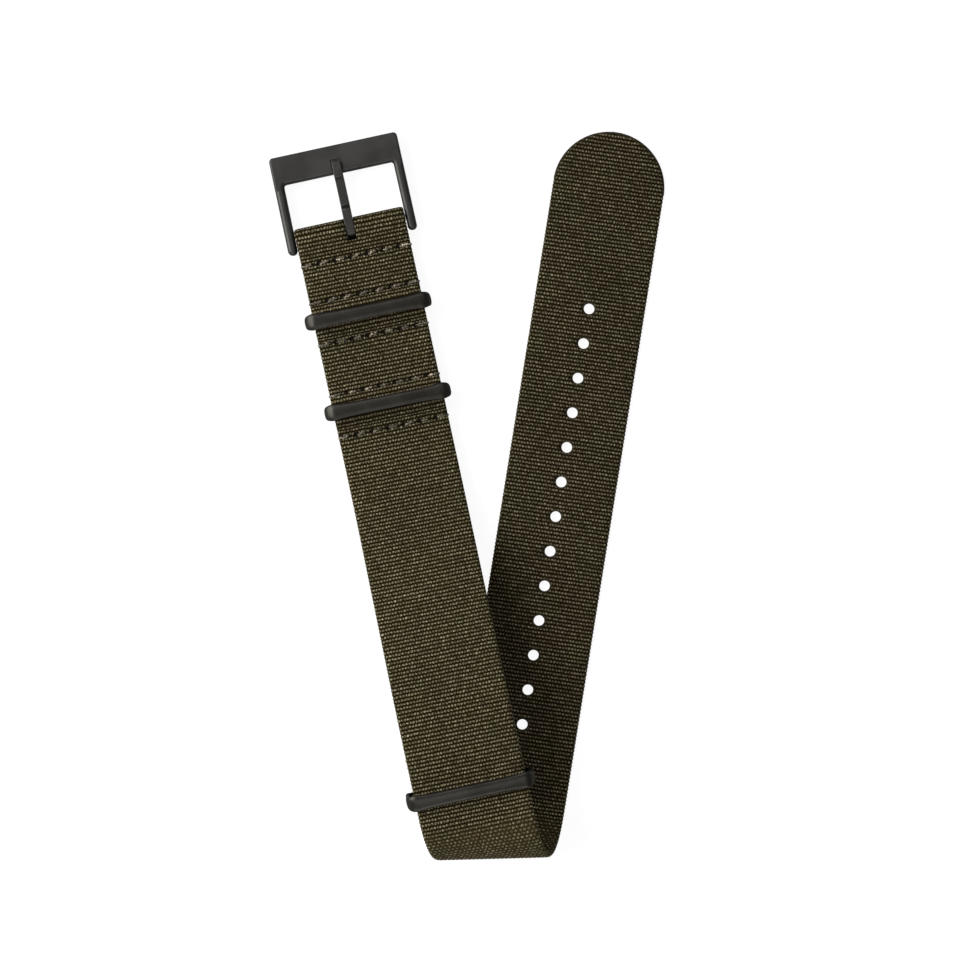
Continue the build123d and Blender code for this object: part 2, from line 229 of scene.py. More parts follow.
def needle_holes(across, along, seam):
    """1 in the holes at both ends of each stitch of a row."""
    left_edge, right_edge, squash = 0.16, 0.10, 0.8
    left_hole, right_hole, right_depth = (0.66, 0.34), (0.50, 0.22), 0.85
    spot = ((across + STITCH / 2) / STITCH).fract() * STITCH - STITCH / 2
    gap = along - seam
    left = spot + STITCH_LONG / 2 + left_edge
    right = spot - STITCH_LONG / 2 - right_edge
    pit = (left * left * squash + gap * gap).root().step(*left_hole)
    return pit.most((right * right + gap * gap).root().step(*right_hole) * right_depth)


def webbing_look(name, tail=False, seams=(), bent=False, shade=1.0):
    """Ribs of cloth, with painted highlights on the beads where the yarns cross them and painted
    shade in the grooves between the ribs.
    """
    look = Look(name)
    across, along = look.flat()
    drift = look.noise(*DRIFT_NOISE)
    wander = look.noise(*WANDER_NOISE)
    ribs = (along + (drift - 0.5) * RIB_DRIFT + (wander - 0.5) * RIB_WANDER) / RIB_PITCH
    brick = (ribs.floor() * 0.5).fract()
    columns = (across + (wander - 0.5) * YARN_WANDER) / DOT_PITCH + brick
    side = abs(columns.fract() * 2.0 - 1.0)
    crest = abs(ribs.fract() * 2.0 - 1.0)
    bead = 1.0 - side ** BEAD_CURVE * BEAD_SIDE - crest ** BEAD_CURVE * BEAD_CREST
    if bent:
        pairs = (across + (wander - 0.5) * PAIR_WANDER) / (YARN_PAIR * DOT_PITCH) + brick
        apart = abs(pairs.fract() * 2.0 - 1.0)
        scales = (OPEN_BEAD - apart ** PAIR_CURVE * PAIR_SIDE
                  - crest ** OPEN_CURVE * OPEN_CREST)
        opened = (along.step(OPEN_FROM, OPEN_FULL[0])
                  * along.step(BEND_END - OPEN_FROM, BEND_END - OPEN_FULL[1]) * OPEN_MOST)
        bead = bead + (scales - bead) * opened
    dot = bead.step(*BEAD_LIT)
    fibre = look.noise(*FIBRE_NOISE)
    patch = look.noise(*PATCH_NOISE)
    yarn = look.noise(*YARN_NOISE)
    # The ground carries painted shade in the grooves; the beads get painted highlights, with
    # sparse painted glints on their fibres.
    ground = look.mix(bead.step(*GROUND_LIT), OLIVE_GROOVE_SHADE, OLIVE)
    bead_highlight = (dot * (FIBRE_LEAST + fibre.step(*FIBRE_LIT) * FIBRE_SHINE)
             * (YARN_LEAST + yarn.step(*YARN_LIT) * YARN_SHINE))
    # In the bend the painted highlights are duller and the ground is lighter.
    if bent:
        bead_highlight = bead_highlight * (1.0 - opened * OPEN_DULLER)
        ground = look.mix(opened * OPEN_GROUND, ground, OLIVE_OPEN)
    colour = look.mix(bead_highlight, ground, OLIVE_BEAD_HIGHLIGHT)
    beside = abs(across * (1 / WEB_HALF)) ** BORDER_CURVE
    hue = (HUE_TAIL if tail else HUE_RUN) + drift * HUE_DRIFT + beside * HUE_BORDER
    # shade below 1 is painted shade over the whole piece; above 1 it is painted light.
    tone = look.node("ShaderNodeHueSaturation", None, {
        "Hue": hue, "Saturation": 1.0,
        "Value": (CLOTH_TONE + patch * CLOTH_PATCH) * shade, "Color": colour})
    height = bead + fibre * FIBRE_HEIGHT
    rough = CLOTH_ROUGH + (1.0 - dot) * GAP_ROUGH
    if tail:
        sealed_share = melted_edges(look, across, along)
        tone = look.mix(sealed_share * SEAL_TONE, tone, OLIVE_SEALED)
        height = height * (1.0 - sealed_share * SEAL_FLAT)
        rough = rough - sealed_share * SEAL_GLOSS
    for seam in seams:
        pit = needle_holes(across, along, seam)
        # Painted shade fills the needle holes, which are also pressed in.
        tone = look.mix(pit * NEEDLE_SHADE_SHARE, tone, NEEDLE_HOLE_SHADE)
        height = height * (1.0 - pit) - pit * NEEDLE_DEEP
    return look.finish({"Specular IOR Level": 0.02},
                       {"Base Color": tone, "Roughness": rough,
                        "Normal": look.bump(height, WEAVE_BUMP * MM)})


def thread_look():
    """Frayed thread: painted highlights on its fibres over a dark ground, more of them in some
    places.
    """
    look = Look("olive_thread")
    dark, light = (0.016, 0.0120, 0.0060), (0.46, 0.398, 0.290)
    least, more = 0.25, 0.75
    fibre = look.noise(4800.0, 3.0, 0.7)
    lean = look.noise(420.0, 1.0)
    # Painted highlights on the thread's fibres.
    fibre_highlight = fibre.step(0.50, 0.62) * (least + lean.step(0.35, 0.65) * more)
    tone = look.mix(fibre_highlight, dark, light)
    return look.finish({"Sheen Weight": 0.05, "Specular IOR Level": 0.2},
                       {"Base Color": tone, "Roughness": 0.55 + fibre * 0.1,
                        "Normal": look.bump(fibre, 0.05 * MM, 0.6)})


def black_steel_look(name, dark, light, gloss):
    """Satin black coating; the tint keeps it black where it is seen at a low angle."""
    look = Look(name)
    grain = look.noise(2600.0, 3.0, 0.6)
    cloud = look.noise(180.0, 2.0)
    speck = look.noise(900.0, 4.0, 0.7).step(0.62, 0.74)
    speck_share, speck_colour = 0.22, (0.070, 0.068, 0.064)
    tone = look.mix(cloud.step(0.3, 0.7), dark, light)
    tone = look.mix(speck * speck_share, tone, speck_colour)
    return look.finish({"Metallic": 0.85, "Specular IOR Level": 0.5,
                        "Specular Tint": (0.22, 0.22, 0.22, 1.0)},
                       {"Base Color": tone, "Roughness": gloss + grain * 0.09 + cloud * 0.05,
                        "Normal": look.bump(grain, 0.012 * MM, 0.5)})


def bar_steel_look():
    """Plain steel with fine turning marks."""
    look = Look("satin_bar_steel")
    dark, light = (0.20, 0.20, 0.205), (0.34, 0.34, 0.345)
    turned = look.noise(900.0, 2.0, 0.5, stretch=(6.0, 1.0, 1.0))
    tone = look.mix(turned, dark, light)
    return look.finish({"Metallic": 1.0},
                       {"Base Color": tone, "Roughness": 0.30 + turned * 0.14,
                        "Normal": look.bump(turned, 0.01 * MM, 0.4)})


def sealed_look():
    """Webbing melted together by a hot punch."""
    look = Look("fused_edge")
    dark, light = (0.012, 0.010, 0.006), (0.045, 0.038, 0.022)
    lumps = look.noise(2500.0, 3.0, 0.6)
    tone = look.mix(lumps, dark, light)
    return look.finish({"Specular IOR Level": 0.04},
                       {"Base Color": tone, "Roughness": 0.6 + lumps * 0.15,
                        "Normal": look.bump(lumps, 0.06 * MM, 0.6)})


sealed = sealed_look()
steel = black_steel_look("satin_black_steel", dark=(0.0243, 0.0237, 0.0221),
                         light=(0.0333, 0.0323, 0.0304), gloss=0.35)
# The keepers' steel is tinted warm as a painted reflection of the olive webbing around it.
loop_steel = black_steel_look("warm_black_steel_painted_reflection", dark=(0.0184, 0.0170, 0.0146),
                              light=(0.0252, 0.0236, 0.0206), gloss=0.29)
bar_steel = bar_steel_look()
thread = thread_look()


# The line that the webbing follows, seen from the side

ARC_STEP, TINY = 0.05, 1e-6
ROW_CLEAR = 1.2  # from the first row to where the plies part for the bar


def rounded(points, radii):
    """Points along a bent line whose corners are arcs."""
    corners = [np.array(point, float) for point in points]
    line = [corners[0]]
    for before, corner, after, radius in zip(corners, corners[1:], corners[2:], radii):
        way_in = (corner - before) / np.linalg.norm(corner - before)
        way_out = (after - corner) / np.linalg.norm(after - corner)
        turn = math.atan2(way_in[0] * way_out[1] - way_in[1] * way_out[0], way_in @ way_out)
        if abs(turn) < TINY:
            continue
        reach = radius * math.tan(abs(turn) / 2)
        side = np.array([-way_in[1], way_in[0]]) * math.copysign(1, turn)
        centre = corner - way_in * reach + side * radius
        count = max(3, int(abs(turn) * radius / ARC_STEP))
        for index in range(count + 1):
            angle = turn * index / count
            spin = np.array([[math.cos(angle), -math.sin(angle)],
                             [math.sin(angle), math.cos(angle)]])
            line.append(centre + spin @ (-side * radius))
    line.append(corners[-1])
    return np.array(line)


def half_turn(centre, radius, side, count=60):
    """An arc from the top of a bar to its bottom, bulging to one side."""
    angles = math.pi / 2 - side * np.linspace(0, math.pi, count)
    return np.column_stack([centre[0] + radius * np.cos(angles),
                            centre[1] + radius * np.sin(angles)])


def pocket(place, level, rise):
    """Corners of a ply that leaves room for a keeper's lower bar."""
    return [(-place - POCKET_RAMP, level), (-place - POCKET_FLAT, level + rise),
            (-place + POCKET_FLAT, level + rise), (-place + POCKET_RAMP, level)]


class SideLine:
    """The middle of the webbing, by its length along."""

    def __init__(self, line, offset):
        keep = np.r_[True, np.linalg.norm(np.diff(line, axis=0), axis=1) > TINY]
        line = line[keep]
        way = np.gradient(line, axis=0)
        way /= np.linalg.norm(way, axis=1)[:, None]
        self.middle = line + np.column_stack([-way[:, 1], way[:, 0]]) * offset
        gaps = np.linalg.norm(np.diff(self.middle, axis=0), axis=1)
        self.length = np.r_[0, np.cumsum(gaps)]
        way = np.gradient(self.middle, axis=0)
        self.way = way / np.linalg.norm(way, axis=1)[:, None]

    def at(self, length):
        """Place along the strap, height and direction; straight on before the line's start."""
        spots = [np.interp(length, self.length, column) for column in
                 (self.middle[:, 0], self.middle[:, 1], self.way[:, 0], self.way[:, 1])]
        spots[0] = np.where(length < 0, self.middle[0, 0] + length, spots[0])
        return spots

    def where(self, along, upper=True):
        """The length at which the line passes a place along the strap."""
        gap = self.middle[:, 0] - along
        found = np.nonzero(np.diff(np.sign(gap)))[0]
        index = found[0] if upper else found[-1]
        share = gap[index] / (gap[index] - gap[index + 1])
        return self.length[index] + share * (self.length[index + 1] - self.length[index])


def long_line():
    """The long webbing from the bend to the bar, round it and back."""
    over, under = STACK_Z + PLY_GAP / 2, STACK_Z - PLY_GAP / 2
    start, crest = -(ROWS[0] - ROW_CLEAR), -(LOOP_R + PLY_GAP / 2)
    top = [(-BAR_TO_FOLD, UPPER_Z), (-SLOPE_HEAD, UPPER_Z), (-SLOPE_FOOT, over)]
    for place in reversed(KEEPERS):
        top += pocket(place, over, POCKET_RISE)
    top += [(start, over), (crest, STACK_Z + LOOP_R), (0, STACK_Z + LOOP_R)]
    bottom = [(0, STACK_Z - LOOP_R), (crest, STACK_Z - LOOP_R), (start, under)]
    bottom += reversed(pocket(KEEPERS[0], under, -POCKET_RISE))
    bottom += [(-(PLY_JOINT - PLY_GAP / 2), under)]
    radii = [SLOPE_R] * 2 + [PLY_R] * (len(top) - 4)
    line = np.vstack([rounded(top, radii), half_turn((0, STACK_Z), LOOP_R, 1)[1:-1],
                      rounded(bottom, [PLY_R] * (len(bottom) - 2))])
    return SideLine(line, WEB_T / 2)


def short_line():
    """The short webbing from under the sewn part to the end keeper, round it and back."""
    under = STACK_Z - PLY_GAP / 2 - WEB_T
    level, back = END_Z + END_R, -END_KEEPER
    path = [(-(PLY_JOINT + PLY_GAP / 2), under)]
    path += reversed(pocket(KEEPERS[1], under, -POCKET_RISE))
    path += [(-SLOPE_FOOT, under), (-SLOPE_HEAD, level), (back, level)]
    tail = [(back, level - 2 * END_R), (back + END_R, level - 2 * END_R),
            (back + SEAM / 2, level - PLY_GAP), (back + SEAM, level - PLY_GAP * 1.5),
            (back + END_TAIL, level - PLY_GAP * 4.5)]
    radii = [PLY_R] * 4 + [SLOPE_R - RUN_GAP] * 2
    line = np.vstack([rounded(path, radii), half_turn((back, END_Z), END_R, -1)[1:-1],
                      rounded(tail, [PLY_R / 2, PLY_R, PLY_R])])
    return SideLine(line, -WEB_T / 2)


LONG, SHORT = long_line(), short_line()
LONG_END = BEND_END + LONG.length[-1]


def on_strap(across, v, z):
    """Points of the buckle run, from their places across it, along it and above the table."""
    cos, sin = math.cos(LIMB), math.sin(LIMB)
    return np.column_stack([BAR.x / MM + across * cos - v * sin,
                            BAR.y / MM + across * sin + v * cos, z])


def place_long(across, along):
    """Middle and normal of the long webbing; along is 0 at the bend's start."""
    cos, sin = math.cos(LIMB), math.sin(LIMB)
    forth = -across * sin - along * cos
    sideways = across * cos - along * sin
    turn = np.clip(-forth / FOLD_R, 0, math.pi)
    share = turn / math.pi
    slip = FOLD_SLIP * share * share * (3 - 2 * share)
    bent_x = BEND_X + sideways - slip
    bent_y = BEND_Y + np.where(forth > 0, forth, -FOLD_R * np.sin(turn))
    bent_y = np.where(-forth > math.pi * FOLD_R, BEND_Y - forth - math.pi * FOLD_R, bent_y)
    bent = np.column_stack([bent_x, bent_y, WEB_T / 2 + FOLD_R * (1 - np.cos(turn))])
    normal = np.column_stack([0 * turn, np.sin(turn), np.cos(turn)])
    v, z, way_v, way_z = LONG.at(along - BEND_END)
    run_normal = -np.column_stack([way_z * sin, -way_z * cos, way_v])
    onward = (along > BEND_END)[:, None]
    return np.where(onward, on_strap(across, v, z), bent), np.where(onward, run_normal, normal)


def place_short(across, along):
    """Middle and normal of the short webbing; along is 0 where it meets the long one's end."""
    cos, sin = math.cos(LIMB), math.sin(LIMB)
    v, z, way_v, way_z = SHORT.at(along)
    return on_strap(across, v, z), np.column_stack([way_z * sin, -way_z * cos, way_v])


# Making meshes

def deselect():
    if bpy.context.object and bpy.context.object.mode != "OBJECT":
        bpy.ops.object.mode_set(mode="OBJECT")
    bpy.ops.object.select_all(action="DESELECT")


def only(piece):
    deselect()
    piece.select_set(True)
    bpy.context.view_layer.objects.active = piece


def grid(name, columns, rows):
    """A flat grid from 0 to 1 both ways; returns it with each point's place on it."""
    deselect()
    bpy.ops.mesh.primitive_grid_add(x_subdivisions=columns, y_subdivisions=rows, size=1.0)
    piece = bpy.context.object
    piece.name = piece.data.name = name
    flat = np.empty(len(piece.data.vertices) * 3)
    piece.data.vertices.foreach_get("co", flat)
    return piece, flat.reshape(-1, 3)[:, :2] + 0.5


def set_points(piece, points):
    piece.data.vertices.foreach_set("co", (points * MM).ravel())
    piece.data.update()


def outward(piece, merge=0.0):
    """Turns all faces outward, after merging points nearer than a given distance."""
    only(piece)
    bpy.ops.object.mode_set(mode="EDIT")
    bpy.ops.mesh.select_all(action="SELECT")
    if merge:
        bpy.ops.mesh.remove_doubles(threshold=merge)
    bpy.ops.mesh.normals_make_consistent(inside=False)
    bpy.ops.object.mode_set(mode="OBJECT")


def smooth(piece):
    only(piece)
    bpy.ops.object.shade_smooth()


def cut(piece, cutter):
    only(piece)
    knife = piece.modifiers.new("cut", "BOOLEAN")
    knife.operation, knife.object, knife.solver = "DIFFERENCE", cutter, "EXACT"
    knife.material_mode = "TRANSFER"
    bpy.ops.object.modifier_apply(modifier="cut")
    bpy.data.objects.remove(cutter)


def joined(pieces, name):
    deselect()
    for piece in pieces:
        piece.select_set(True)
    bpy.context.view_layer.objects.active = pieces[0]
    bpy.ops.object.join()
    bpy.context.object.name = bpy.context.object.data.name = name
    return bpy.context.object


def settle(piece):
    """Leaves the piece's place in its mesh and its object at the origin."""
    only(piece)
    bpy.ops.object.transform_apply(location=True, rotation=True, scale=True)


# Webbing

ACROSS = np.array([-1, -0.992, -0.972, -0.93, -0.8, -0.6, -0.4, -0.2, 0,
                   0.2, 0.4, 0.6, 0.8, 0.93, 0.972, 0.992, 1.0])
FINE_ACROSS = np.union1d(np.round(np.linspace(-1, 1, 89), 4), ACROSS)
ROWS_PER_RIB = 4
TIP_STOP = 0.03  # the round tip's mesh ends this far before its last point
TIP_NARROW = 0.01  # where the tip is narrower by this, its edge has no notches
RIB_BASE, RIB_RISE, RIB_CURVE = 0.52, 0.07, 0.8  # half the thickness between ribs, and on one
NOTCH, NOTCH_CURVE, EDGE_CURVE, EDGE_LEAST = 0.17, 24, 40, 0.09
PINCH, PINCH_WIDE = 0.09, 0.45  # how far a row of stitches draws the webbing in
SWELL_FADE = 5


def webbing(name, first, last, placed, tip=False, seams=(), swell=0.0):
    """A closed strip of ribbed webbing between two places along its length."""
    columns = FINE_ACROSS if swell else ACROSS
    steps = int(round((last - first) / (RIB_PITCH / ROWS_PER_RIB)))
    piece, flat = grid(name, len(columns) - 1, steps)
    share = np.interp(flat[:, 0], np.linspace(0, 1, len(columns)), columns)
    along = first + flat[:, 1] * (last - first)
    half = np.full(len(along), WEB_HALF)
    if tip:
        past = np.clip(-TAIL_RUN - along, 0, WEB_HALF - TIP_STOP)
        half = np.sqrt(WEB_HALF ** 2 - past ** 2)
    phase = np.abs(np.sin(math.pi * along / RIB_PITCH))
    rib = phase ** RIB_CURVE
    notch = NOTCH * (1 - rib) * np.abs(share) ** NOTCH_CURVE
    notch = notch * (half > WEB_HALF - TIP_NARROW)
    across = share * half - np.sign(share) * notch
    edge = np.sqrt(np.clip(1 - np.abs(share) ** EDGE_CURVE, EDGE_LEAST, 1))
    pinch = sum((np.exp(-((along - seam) / PINCH_WIDE) ** 2) for seam in seams), 0 * along)
    height = edge * (RIB_BASE + RIB_RISE * rib) - PINCH * pinch
    if swell:
        pairs = across / (YARN_PAIR * DOT_PITCH) + 0.5 * np.floor(along / RIB_PITCH)
        fade = (np.clip((along - first) / SWELL_FADE, 0, 1)
                * np.clip((last - along) / SWELL_FADE, 0, 1))
        height = height - swell * fade * edge * phase * np.cos(2 * math.pi * pairs)
    middle, normal = placed(across, along)
    only(piece)
    solid = piece.modifiers.new("thickness", "SOLIDIFY")
    solid.thickness, solid.offset = WEB_T * MM, 0
    bpy.ops.object.modifier_apply(modifier="thickness")
    set_points(piece, np.vstack([middle + normal * height[:, None],
                                 middle - normal * height[:, None]]))
    places = np.column_stack([across, along])
    mesh = piece.data
    while mesh.uv_layers:
        mesh.uv_layers.remove(mesh.uv_layers[0])
    layer = mesh.uv_layers.new(name="flat_mm")
    owner = np.empty(len(mesh.loops), int)
    mesh.loops.foreach_get("vertex_index", owner)
    layer.data.foreach_set("uv", places[owner % len(places)].ravel())
    outward(piece)
    smooth(piece)
    return piece


def hole_punches():
    """Cutters for the tail's holes, as one piece."""
    punches = []
    for index in range(HOLES):
        away = (TAIL_RUN - FIRST_HOLE - index * HOLE_PITCH) * MM
        deselect()
        bpy.ops.mesh.primitive_cylinder_add(
            vertices=32, radius=HOLE_R * MM, depth=4 * WEB_T * MM,
            location=TAIL @ Vector((0, away, WEB_T / 2 * MM)))
        punches.append(bpy.context.object)
    made = joined(punches, "hole_punches")
    made.data.materials.append(sealed)
    return made


def slot_punch():
    """Cutter for the tongue's slot; it reaches a little less far back in the lower ply."""
    wide, front, top, floor_z, meet = 1.86, 6.0, 9.0, -3.0, 0.01
    back_upper, back_lower = 2.38, 1.80
    boxes = []
    for back, low, high in ((back_upper, STACK_Z, top), (back_lower, floor_z, STACK_Z + meet)):
        deselect()
        bpy.ops.mesh.primitive_cube_add(size=1.0)
        box = bpy.context.object
        box.dimensions = (wide * MM, (back + front) * MM, (high - low) * MM)
        box.location = (0, (front - back) / 2 * MM, (high + low) / 2 * MM)
        settle(box)
        boxes.append(box)
    punch = joined(boxes, "slot_punch")
    only(punch)
    bpy.ops.object.mode_set(mode="EDIT")
    bpy.ops.mesh.select_all(action="SELECT")
    bpy.ops.mesh.intersect_boolean(operation="UNION", use_self=True, solver="EXACT")
    bpy.ops.object.mode_set(mode="OBJECT")
    punch.matrix_world = STRAP
    settle(punch)
    punch.data.materials.append(sealed)
    return punch


long_rows = ([BEND_END + LONG.where(-place) for place in ROWS]
             + [BEND_END + LONG.where(-place, upper=False) for place in ROWS[:3]])
loop_seam = SHORT.length[-1] - (END_TAIL - SEAM)
short_rows = [loop_seam] + [SHORT.where(-place) for place in ROWS[3:]]

# Each look's shade is painted shade or light on the whole piece: the tail, under the buckle run,
# is painted darker, the bend a little lighter.
tail = webbing("woven_tail", -(TAIL_RUN + WEB_HALF - TIP_STOP), -OVERLAP, place_long, tip=True)
tail.data.materials.append(webbing_look("olive_webbing_tail", tail=True, shade=0.75))
cut(tail, hole_punches())
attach(tail, "tail")
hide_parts("webbing_tail_run")

bend = webbing("woven_fold", -OVERLAP, BEND_END + OVERLAP, place_long, swell=0.07)
bend.data.materials.append(webbing_look("olive_webbing_fold", bent=True, shade=1.02))
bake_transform(bend)
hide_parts("webbing_fold")

front = webbing("woven_buckle_run", BEND_END + OVERLAP, LONG_END, place_long, seams=long_rows)
front.data.materials.append(webbing_look("olive_webbing_front", seams=long_rows, shade=0.97))
cut(front, slot_punch())
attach(front, "buckle_run")
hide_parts("webbing_buckle_run")

short = webbing("woven_short_run", 0.0, SHORT.length[-1], place_short, seams=short_rows)
short.data.materials.append(webbing_look("olive_webbing_short", seams=short_rows))
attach(short, "buckle_run")
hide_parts("webbing_short_run")


# Stitching

STITCHES = 7
LEAST_LONG, MORE_LONG, LEAST_THICK, MORE_THICK = 0.98, 0.30, 0.135, 0.04
LEAST_SLANT, MORE_SLANT, PHASE_SPREAD = 0.02, 0.30, 2.4
TOP_SINK, TOP_LIFT, TOP_DIP, UNDER_SINK, UNDER_DIP = 0.04, 0.05, 0.30, 0.02, 0.28
THREAD_MERGE = 0.0004 * MM
PLY_GRID, EDGE_GRID = (20, 8), (18, 10)
UNEVEN = (12.9898, 78.233, 437.5453)
PLY_CURVE = 3.0
PLY_TURNS = 3.6  # how fast two plies wind round each other, in radians to the millimetre
PLY_RISE, PLY_WIDE, PLY_TALL = 0.13, 0.92, 0.75  # the winding's swing is in thicknesses
EDGE_ARC, EDGE_TWIST = 1.25, 9.0
EDGE_THICK, EDGE_ROPE, EDGE_WIDE, EDGE_IN, EDGE_OVER = 0.17, 0.03, 0.64, 0.62, 0.08


def uneven(index, place):
    """A steady number from 0 to 1 that differs from stitch to stitch."""
    value = math.sin(index * UNEVEN[0] + place * UNEVEN[1]) * UNEVEN[2]
    return value - math.floor(value)


def ply(name, start, length, top, dip, over=1, slant=0.0, thick=0.14, phase=0.0):
    """One ply of the thread between two needle holes; two of them wind round each other."""
    piece, flat = grid(name, *PLY_GRID)
    t = flat[:, 0]
    around = flat[:, 1] * 2 * math.pi
    rise = 1 - np.abs(2 * t - 1) ** PLY_CURVE
    wind = t * length * PLY_TURNS + phase
    x = start + length * t
    y = (thick * np.cos(around) + slant * (t - 0.5) * length
         + PLY_WIDE * thick * np.cos(wind))
    z = top + over * (dip * (rise - 1) + PLY_RISE * rise)
    z = z + thick * np.sin(around) + PLY_TALL * thick * np.sin(wind)
    set_points(piece, np.column_stack([x, y, z]))
    outward(piece, merge=THREAD_MERGE)
    return piece


def edge_stitch(name, side, middle, reach):
    """Thread drawn round the edge of the webbing at the end of a row."""
    piece, flat = grid(name, *EDGE_GRID)
    turn = (flat[:, 0] - 0.5) * math.pi * EDGE_ARC
    around = flat[:, 1] * 2 * math.pi
    radius = EDGE_THICK + EDGE_ROPE * np.abs(np.cos(around + flat[:, 0] * EDGE_TWIST))
    wide = EDGE_WIDE + radius * np.cos(around)
    tall = reach + EDGE_OVER + radius * np.cos(around)
    x = side * (WEB_HALF - EDGE_IN + wide * np.cos(turn))
    set_points(piece, np.column_stack([x, radius * np.sin(around),
                                       middle + tall * np.sin(turn)]))
    outward(piece, merge=THREAD_MERGE)
    return piece


def stitch_row(name, place, middle, node):
    """A row of stitches through both plies, each a little different from the next."""
    reach = WEB_T + PLY_GAP / 2
    pieces = []
    for index in range(STITCHES):
        centre = (index - STITCHES // 2) * STITCH
        chance = uneven(index, place)
        long = STITCH_LONG * (LEAST_LONG + MORE_LONG * uneven(index + 11, place))
        thick = LEAST_THICK + MORE_THICK * uneven(index + 23, place)
        for half in (0, 1):
            pieces.append(ply("top", centre - long / 2, long,
                              middle + reach - TOP_SINK + TOP_LIFT * chance, TOP_DIP,
                              slant=LEAST_SLANT + MORE_SLANT * chance, thick=thick,
                              phase=math.pi * half + PHASE_SPREAD * chance))
            if index:
                pieces.append(ply("bottom", centre - STITCH / 2 - STITCH_LONG / 2, STITCH_LONG,
                                  middle - reach + UNDER_SINK, UNDER_DIP, over=-1,
                                  phase=math.pi * half))
    for side in (-1, 1):
        pieces.append(edge_stitch("edge", side, middle, reach))
    row = joined(pieces, name)
    row.data.transform(STRAP @ Matrix.Translation((0, -place * MM, 0)))
    row.data.materials.clear()
    row.data.materials.append(thread)
    smooth(row)
    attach(row, "buckle_run")
    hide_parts(node)


for index, place in enumerate(ROWS):
    stitch_row(f"thread_row_{index + 1}", place, STACK_Z, f"stitch_row_{index + 1}")
stitch_row("thread_end_loop", END_KEEPER - SEAM, END_Z + END_R - PLY_GAP, "stitch_end_loop")


# Keepers

KEEPER_HALF_X, KEEPER_HALF_Z, KEEPER_CORNER, KEEPER_WALL = 12.6, 3.1, 2.1, 1.1
KEEPER_END_X = 10.5  # where the round ends start, from the middle
KEEPER_STEP, KEEPER_RISE = 0.2, 1.6
KEEPER_GRID, KEEPER_MERGE = (220, 24), 0.002 * MM
LOWER_HALF, UPPER_HALF, END_HALF, END_BULGE = 0.9, 1.36, 1.20, 0.45
UPPER_FLARE, FLARE_CURVE = 0.29, 6  # the upper bar widens a little towards its ends
KEEPER_SQUARE = 0.74  # 1 is a round section, less is squarer


def keeper_line():
    """The middle of a keeper's wall, once round from the middle of its lower bar."""
    inset = KEEPER_WALL / 2
    side, top = KEEPER_HALF_X - inset, KEEPER_HALF_Z - inset
    line = rounded([(0, inset - KEEPER_HALF_Z), (side, inset - KEEPER_HALF_Z),
                    (side, top), (inset - KEEPER_HALF_X, top),
                    (inset - KEEPER_HALF_X, inset - KEEPER_HALF_Z), (0, inset - KEEPER_HALF_Z)],
                   [KEEPER_CORNER - inset] * 4)
    dense = [line[:1]]
    for a, b in zip(line, line[1:]):
        steps = 1 + max(1, int(np.linalg.norm(b - a) / KEEPER_STEP))
        dense.append(np.linspace(a, b, steps)[1:])
    return np.vstack(dense)


def keeper(name, node, body, middle, skew=0.0, tip_over=0.0):
    """A steel loop with soft edges and round ends, drawn in a little along its upper bar."""
    inset = KEEPER_WALL / 2
    piece, flat = grid(name, *KEEPER_GRID)
    line = keeper_line()
    far = np.r_[0, np.cumsum(np.linalg.norm(np.diff(line, axis=0), axis=1))]
    way = np.gradient(line, axis=0)
    way /= np.linalg.norm(way, axis=1)[:, None]
    spot = flat[:, 0] * far[-1]
    x, z, wx, wz = (np.interp(spot, far, column)
                    for column in (line[:, 0], line[:, 1], way[:, 0], way[:, 1]))
    angle = flat[:, 1] * 2 * math.pi
    cos, sin = np.cos(angle), np.sin(angle)
    out = np.sign(cos) * np.abs(cos) ** KEEPER_SQUARE * inset
    rise = np.clip((z + KEEPER_HALF_Z - inset) / KEEPER_RISE, 0, 1)
    rise = rise * rise * (3 - 2 * rise)
    near_end = np.clip((np.abs(x) - KEEPER_END_X) / (KEEPER_HALF_X - inset - KEEPER_END_X), 0, 1)
    upper = np.where(np.abs(x) < KEEPER_END_X,
                     UPPER_HALF + UPPER_FLARE * (np.abs(x) / KEEPER_END_X) ** FLARE_CURVE,
                     END_HALF + END_BULGE * np.sqrt(1 - near_end ** 2))
    width = LOWER_HALF + (upper - LOWER_HALF) * rise
    y = np.sign(sin) * np.abs(sin) ** KEEPER_SQUARE * width
    set_points(piece, np.column_stack([x + wz * out, y,
                                       z - wx * out + KEEPER_HALF_Z - inset]))
    outward(piece, merge=KEEPER_MERGE)
    place = (Matrix.Translation(Vector(middle)) @ Matrix.Rotation(LIMB + skew, 4, "Z")
             @ Matrix.Rotation(tip_over, 4, "X"))
    piece.data.transform(place)
    piece.data.materials.append(loop_steel)
    smooth(piece)
    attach(piece, body)
    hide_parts(node)


SKEW, END_TIP = math.radians(-0.7), math.radians(12)
keeper("keeper_upper_loop", "keeper_upper", "keeper_upper",
       JOINTS["keeper_upper_tilt"]["pos_m"], SKEW)
keeper("keeper_lower_loop", "keeper_lower", "keeper_lower",
       JOINTS["keeper_lower_tilt"]["pos_m"], SKEW)
keeper("keeper_end_loop", "keeper_end", "keeper_end",
       JOINTS["keeper_end_tilt"]["pos_m"], 0.0, END_TIP)


# Buckle

MERGE, FLAT_ANGLE, EDGE_ANGLE = 0.001 * MM, math.radians(0.5), math.radians(38)
FRAME_SOFT, TONGUE_SOFT = 0.14 * MM, 0.16 * MM


